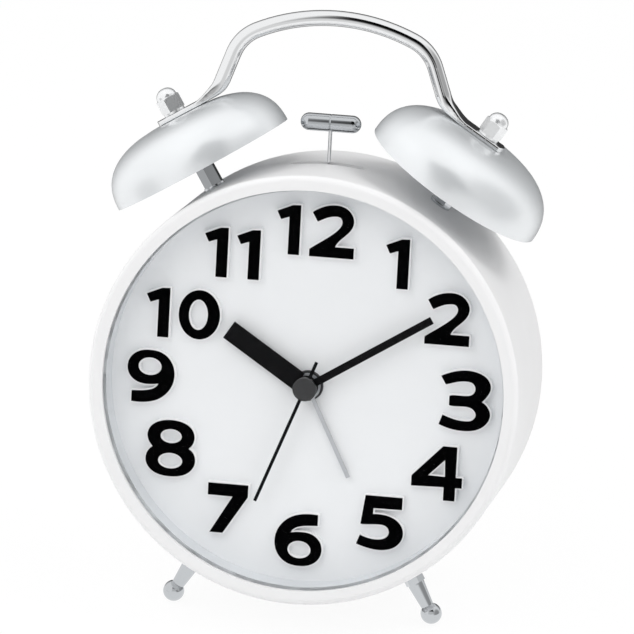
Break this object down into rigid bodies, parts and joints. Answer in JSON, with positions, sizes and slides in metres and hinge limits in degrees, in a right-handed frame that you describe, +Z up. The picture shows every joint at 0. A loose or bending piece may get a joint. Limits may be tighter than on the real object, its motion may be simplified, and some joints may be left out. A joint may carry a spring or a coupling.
{
  "type": "twin bell alarm clock",
  "caption": "Standing round alarm clock with a white drum, raised block numerals, chrome bells, a carrying handle and a hammer between the bells, on ball-ended feet.",
  "frame": {"origin": "centre of the bounding box on the table plane under the clock", "axes": "+X to the right seen from the front, +Y towards the back of the clock, +Z up; the clock leans back by about 12 degrees"},
  "size_m": [0.121, 0.0761, 0.1642],
  "materials": {
    "housing_white": "white painted, smooth",
    "lens_clear": "clear polished acrylic",
    "dial_white": "white satin print",
    "numeral_white": "white moulded, smooth",
    "numeral_black": "black printed face",
    "hand_black": "matte black paint",
    "alarm_hand_silver": "satin silver",
    "bell_chrome": "bright to satin chrome plate",
    "chrome": "bright chrome plate",
    "steel": "plain steel",
    "chassis_plastic": "natural moulded plastic",
    "back_plastic": "white fine-grained plastic",
    "movement_plastic": "black moulded plastic",
    "gear_plastic": "natural acetal",
    "board_green": "green lacquered board",
    "copper_winding": "enamelled copper wire",
    "battery_sleeve": "printed sleeve, plain"
  },
  "bodies": {
    "case": {"case_drum": "housing_white", "lens": "lens_clear", "dial_spacer_ring": "housing_white", "dial": "dial_white", "numeral_1": "numeral_white", "numeral_2": "numeral_white", "numeral_3": "numeral_white", "numeral_4": "numeral_white", "numeral_5": "numeral_white", "numeral_6": "numeral_white", "numeral_7": "numeral_white", "numeral_8": "numeral_white", "numeral_9": "numeral_white", "numeral_10": "numeral_white", "numeral_11": "numeral_white", "numeral_12": "numeral_white", "numeral_faces": "numeral_black", "chassis": "chassis_plastic", "back_cover": "back_plastic", "back_cover_screws": "steel", "battery": "battery_sleeve", "battery_contacts": "steel", "movement_front_case": "movement_plastic", "movement_back_case": "movement_plastic", "circuit_board": "board_green", "stepper_coil": "copper_winding", "stator": "steel", "ringer_frame": "steel", "ringer_coils": "copper_winding", "ringer_cores": "steel", "hammer_pivot_pin": "steel", "left_bell": "bell_chrome", "right_bell": "bell_chrome", "bell_posts": "chrome", "bell_washers": "chrome", "handle": "chrome", "acorn_nuts": "chrome", "left_foot": "chrome", "right_foot": "chrome"},
    "second_arbor": {"second_wheel": "gear_plastic", "second_hand": "hand_black", "second_hand_cap": "hand_black"},
    "rotor_arbor": {"rotor": "gear_plastic"},
    "intermediate_arbor": {"intermediate_wheel": "gear_plastic"},
    "third_arbor": {"third_wheel": "gear_plastic"},
    "centre_disc": {"centre_wheel": "gear_plastic"},
    "minute_arbor": {"cannon_pinion": "gear_plastic", "minute_hand": "hand_black"},
    "motion_arbor": {"minute_wheel": "gear_plastic"},
    "hour_tube": {"hour_wheel": "gear_plastic", "hour_hand": "hand_black"},
    "alarm_tube": {"alarm_wheel": "gear_plastic", "alarm_hand": "alarm_hand_silver"},
    "time_knob": {"time_set_knob": "back_plastic"},
    "alarm_knob": {"alarm_set_knob": "back_plastic"},
    "alarm_slider": {"alarm_switch": "back_plastic"},
    "door": {"battery_door": "back_plastic"},
    "hammer": {"hammer_lever": "steel", "hammer_rod": "chrome", "hammer_head": "chrome"}
  },
  "joints": [
    {"name": "second_spin", "type": "hinge", "parent": "case", "child": "second_arbor", "pos_m": [0, -0.01038, 0.06602], "axis": [0, 0.9784, -0.2065], "continuous": true},
    {"name": "rotor_spin", "type": "hinge", "parent": "case", "child": "rotor_arbor", "pos_m": [-0.01444, -0.00782, 0.07816], "axis": [0, 0.9784, -0.2065], "continuous": true},
    {"name": "intermediate_spin", "type": "hinge", "parent": "case", "child": "intermediate_arbor", "pos_m": [-0.01225, -0.01038, 0.06602], "axis": [0, 0.9784, -0.2065], "continuous": true},
    {"name": "third_spin", "type": "hinge", "parent": "case", "child": "third_arbor", "pos_m": [0.00308, -0.008, 0.07726], "axis": [0, 0.9784, -0.2065], "continuous": true},
    {"name": "centre_spin", "type": "hinge", "parent": "case", "child": "centre_disc", "pos_m": [0, -0.01038, 0.06602], "axis": [0, 0.9784, -0.2065], "continuous": true},
    {"name": "time_set_spin", "type": "hinge", "parent": "case", "child": "time_knob", "pos_m": [0, -0.01327, 0.05232], "axis": [0, 0.9784, -0.2065], "continuous": true},
    {"name": "minute_spin", "type": "hinge", "parent": "case", "child": "minute_arbor", "pos_m": [0, -0.01038, 0.06602], "axis": [0, 0.9784, -0.2065], "continuous": true},
    {"name": "motion_spin", "type": "hinge", "parent": "case", "child": "motion_arbor", "pos_m": [0, -0.01182, 0.05917], "axis": [0, 0.9784, -0.2065], "continuous": true},
    {"name": "hour_spin", "type": "hinge", "parent": "case", "child": "hour_tube", "pos_m": [0, -0.01038, 0.06602], "axis": [0, 0.9784, -0.2065], "continuous": true},
    {"name": "alarm_set_spin", "type": "hinge", "parent": "case", "child": "alarm_knob", "pos_m": [0.01184, -0.01127, 0.0618], "axis": [0, 0.9784, -0.2065], "continuous": true},
    {"name": "alarm_spin", "type": "hinge", "parent": "case", "child": "alarm_tube", "pos_m": [0, -0.01038, 0.06602], "axis": [0, 0.9784, -0.2065], "continuous": true},
    {"name": "alarm_switch_slide", "type": "slide", "parent": "case", "child": "alarm_slider", "axis": [0, -0.2065, -0.9784], "range_m": [0, 0.004]},
    {"name": "battery_door_slide", "type": "slide", "parent": "case", "child": "door", "axis": [0, 0.9784, -0.2065], "range_m": [0, 0.012]},
    {"name": "hammer_swing", "type": "hinge", "parent": "case", "child": "hammer", "pos_m": [0, 0.00874, 0.10286], "axis": [0, 0.9784, -0.2065], "range_deg": [-7.3, 7.3]}
  ],
  "couplings": [
    {"joint": "rotor_spin", "follows": "second_spin", "ratio": 30},
    {"joint": "intermediate_spin", "follows": "second_spin", "ratio": -6},
    {"joint": "third_spin", "follows": "second_spin", "ratio": -0.13333},
    {"joint": "centre_spin", "follows": "second_spin", "ratio": 0.016667},
    {"joint": "motion_spin", "follows": "time_set_spin", "ratio": -0.33333},
    {"joint": "minute_spin", "follows": "time_set_spin", "ratio": 1},
    {"joint": "hour_spin", "follows": "time_set_spin", "ratio": 0.083333},
    {"joint": "alarm_spin", "follows": "alarm_set_spin", "ratio": -1.5714}
  ]
}
